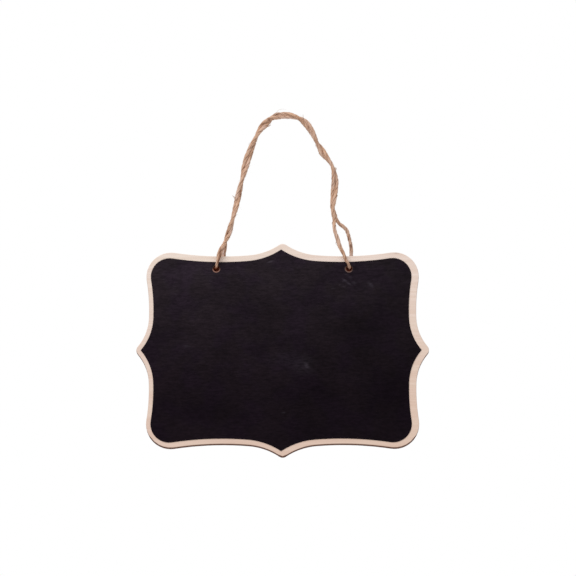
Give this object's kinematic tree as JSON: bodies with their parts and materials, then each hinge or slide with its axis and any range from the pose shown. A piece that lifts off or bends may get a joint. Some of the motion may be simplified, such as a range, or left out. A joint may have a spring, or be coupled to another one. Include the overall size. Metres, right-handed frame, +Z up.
{
  "type": "hanging chalkboard plaque",
  "caption": "Small bracket-shaped plywood plaque with a matt black chalk field, hung by two lengths of jute twine, twisted together and knotted behind two holes under its top edge.",
  "frame": {"origin": "the hanging point: the middle of the twisted twine at the top of its arch", "axes": "+Z up, +X to the right as the front is seen, so the front faces -Y and the back +Y"},
  "size_m": [0.24, 0.0179, 0.2872],
  "materials": {
    "pale_wood": "matte",
    "core_wood": "matte",
    "chalk_black": "matte",
    "jute": "matte"
  },
  "bodies": {
    "hanger": {"twine_front": "jute", "twine_back": "jute", "left_knot": "jute", "left_end_long": "jute", "left_end_short": "jute", "right_knot": "jute", "right_end_long": "jute", "right_end_short": "jute"},
    "board": {"front_veneer": "pale_wood", "core_ply": "core_wood", "back_veneer": "pale_wood", "chalk_coat": "chalk_black"}
  },
  "joints": [
    {"name": "board_swing", "type": "hinge", "parent": "hanger", "child": "board", "pos_m": [0, 0, -0.1214], "axis": [-1, 0, 0], "range_deg": [-2, 35]}
  ]
}
